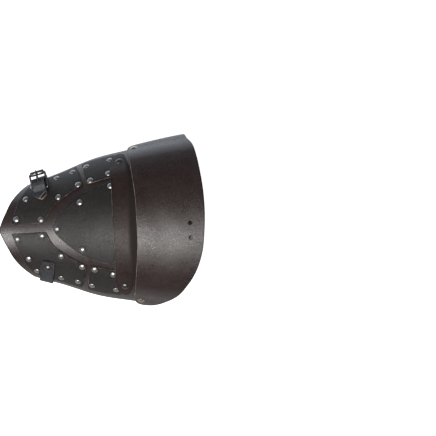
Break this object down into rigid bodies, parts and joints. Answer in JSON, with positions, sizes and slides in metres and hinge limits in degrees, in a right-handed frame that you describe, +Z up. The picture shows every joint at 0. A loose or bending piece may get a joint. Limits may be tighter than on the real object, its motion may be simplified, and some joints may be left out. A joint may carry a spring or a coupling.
{
  "type": "pauldron",
  "caption": "Articulated leather shoulder guard: riveted domed arm plate, shoulder band and neck plate on pivot rivets, with a buckled arm strap.",
  "frame": {"origin": "on the surface that the piece lies on, under the middle of its bounding box", "axes": "+X from the pointed arm end towards the neck, +Y from the wearer's front to the back, +Z up through the crown"},
  "size_m": [0.2876, 0.2376, 0.11],
  "materials": {
    "brown_leather": "dark reddish-brown vegetable-tanned leather, waxed",
    "black_leather": "blackish-brown leather, satin",
    "strap_leather": "dark strap leather",
    "nickel": "nickel-plated, polished",
    "pivot_metal": "warm nickel, slightly worn"
  },
  "bodies": {
    "arm_plate": {"base_plate": "brown_leather", "centre_plate": "black_leather", "outer_plate_back": "black_leather", "inner_plate_back": "black_leather", "outer_plate_front": "black_leather", "inner_plate_front": "black_leather", "arm_strap": "strap_leather", "buckle_chape": "strap_leather", "buckle_frame": "nickel", "buckle_roller": "nickel", "buckle_prong": "nickel", "outer_rivet_back_1": "nickel", "outer_rivet_back_2": "nickel", "outer_rivet_back_3": "nickel", "outer_rivet_back_4": "nickel", "outer_rivet_back_5": "nickel", "outer_rivet_back_6": "nickel", "outer_rivet_back_7": "nickel", "outer_rivet_back_8": "nickel", "outer_rivet_front_1": "nickel", "outer_rivet_front_2": "nickel", "outer_rivet_front_3": "nickel", "outer_rivet_front_4": "nickel", "outer_rivet_front_5": "nickel", "outer_rivet_front_6": "nickel", "outer_rivet_front_7": "nickel", "outer_rivet_front_8": "nickel", "inner_rivet_back_1": "nickel", "inner_rivet_back_2": "nickel", "inner_rivet_back_3": "nickel", "inner_rivet_back_4": "nickel", "inner_rivet_front_1": "nickel", "inner_rivet_front_2": "nickel", "inner_rivet_front_3": "nickel", "inner_rivet_front_4": "nickel", "centre_rivet_1": "nickel", "centre_rivet_2": "nickel", "centre_rivet_3": "nickel", "centre_rivet_4": "nickel", "centre_rivet_5": "nickel", "tab_snap": "nickel", "chape_rivet": "nickel"},
    "band": {"band": "brown_leather", "band_pivot_back": "pivot_metal", "band_pivot_front": "pivot_metal"},
    "neck": {"neck_plate": "brown_leather", "neck_pivot_back": "pivot_metal", "neck_pivot_front": "pivot_metal"}
  },
  "joints": [
    {"name": "band_pivot", "type": "hinge", "parent": "arm_plate", "child": "band", "pos_m": [0.02795, 0, 0.0578], "axis": [0, 1, 0], "range_deg": [-2, 5]},
    {"name": "neck_pivot", "type": "hinge", "parent": "arm_plate", "child": "neck", "pos_m": [0.04874, 0, 0.0304], "axis": [0, 1, 0], "range_deg": [-12, 3]}
  ]
}
